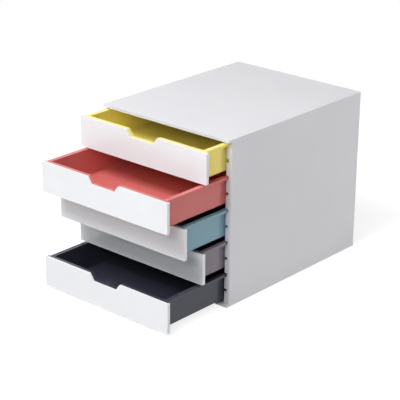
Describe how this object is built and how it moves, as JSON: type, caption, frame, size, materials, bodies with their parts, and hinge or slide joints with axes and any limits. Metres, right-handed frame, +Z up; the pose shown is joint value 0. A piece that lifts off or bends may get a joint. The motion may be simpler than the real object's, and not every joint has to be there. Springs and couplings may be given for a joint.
{
  "type": "desk drawer box",
  "caption": "Desktop plastic drawer box: light grey casing with pull-out coloured trays behind white fronts with finger notches.",
  "frame": {"origin": "middle of the base panel's underside, in the plane of its ribs and lower edge", "axes": "+X to the right seen from the front, +Y towards the back, +Z up; the drawers pull out along -Y"},
  "size_m": [0.28, 0.4998, 0.292],
  "materials": {
    "casing_grey": "satin polystyrene, light grey",
    "runner_grey": "satin polystyrene, light grey",
    "front_white": "high gloss white",
    "foot_rubber": "soft matt rubber",
    "tray_yellow": "glossy polystyrene, yellow",
    "tray_coral": "glossy polystyrene, coral",
    "tray_blue": "glossy polystyrene, blue",
    "tray_taupe": "glossy polystyrene, taupe",
    "tray_anthracite": "glossy polystyrene, anthracite"
  },
  "bodies": {
    "casing": {"top_panel": "casing_grey", "base_panel": "casing_grey", "back_panel": "casing_grey", "side_panel_left": "casing_grey", "side_panel_right": "casing_grey", "runner_left": "runner_grey", "runner_right": "runner_grey", "foot_front_left": "foot_rubber", "foot_front_right": "foot_rubber", "foot_rear_left": "foot_rubber", "foot_rear_right": "foot_rubber"},
    "drawer_1": {"tray_1": "tray_yellow", "front_1": "front_white"},
    "drawer_2": {"tray_2": "tray_coral", "front_2": "front_white"},
    "drawer_3": {"tray_3": "tray_blue", "front_3": "front_white"},
    "drawer_4": {"tray_4": "tray_taupe", "front_4": "front_white"},
    "drawer_5": {"tray_5": "tray_anthracite", "front_5": "front_white"}
  },
  "joints": [
    {"name": "drawer_1_slide", "type": "slide", "parent": "casing", "child": "drawer_1", "axis": [0, -1, 0], "range_m": [-0.054, 0.186]},
    {"name": "drawer_2_slide", "type": "slide", "parent": "casing", "child": "drawer_2", "axis": [0, -1, 0], "range_m": [-0.144, 0.096]},
    {"name": "drawer_3_slide", "type": "slide", "parent": "casing", "child": "drawer_3", "axis": [0, -1, 0], "range_m": [-0.104, 0.136]},
    {"name": "drawer_4_slide", "type": "slide", "parent": "casing", "child": "drawer_4", "axis": [0, -1, 0], "range_m": [-0.06, 0.18]},
    {"name": "drawer_5_slide", "type": "slide", "parent": "casing", "child": "drawer_5", "axis": [0, -1, 0], "range_m": [-0.143, 0.097]}
  ]
}
